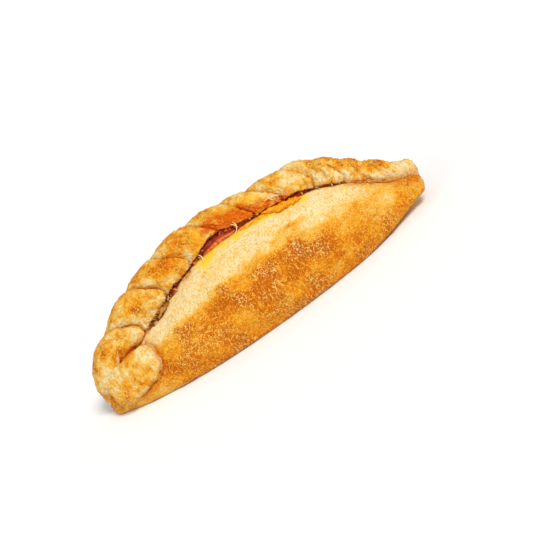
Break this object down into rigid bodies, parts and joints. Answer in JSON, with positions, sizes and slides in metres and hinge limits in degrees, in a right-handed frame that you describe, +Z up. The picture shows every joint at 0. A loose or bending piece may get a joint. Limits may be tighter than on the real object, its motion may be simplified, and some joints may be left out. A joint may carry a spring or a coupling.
{
  "type": "chicken pasty",
  "caption": "Baked chicken pasty: plump golden crust on a flat base, twisted rope crimp along the top, sauce showing in the split seam.",
  "frame": {"origin": "under the middle of the pasty's box, on the surface that its flat base rests on", "axes": "+X along the pasty towards its slimmer end, +Y away from the panel with the split seam, +Z up"},
  "size_m": [0.1994, 0.064, 0.0615],
  "materials": {
    "baked_crust": "golden baked pastry, matt and slightly flaky, pale cream to brown",
    "red_sauce": "wet dark red sauce, glossy"
  },
  "bodies": {
    "root": {"crust": "baked_crust", "filling": "red_sauce"}
  },
  "joints": []
}
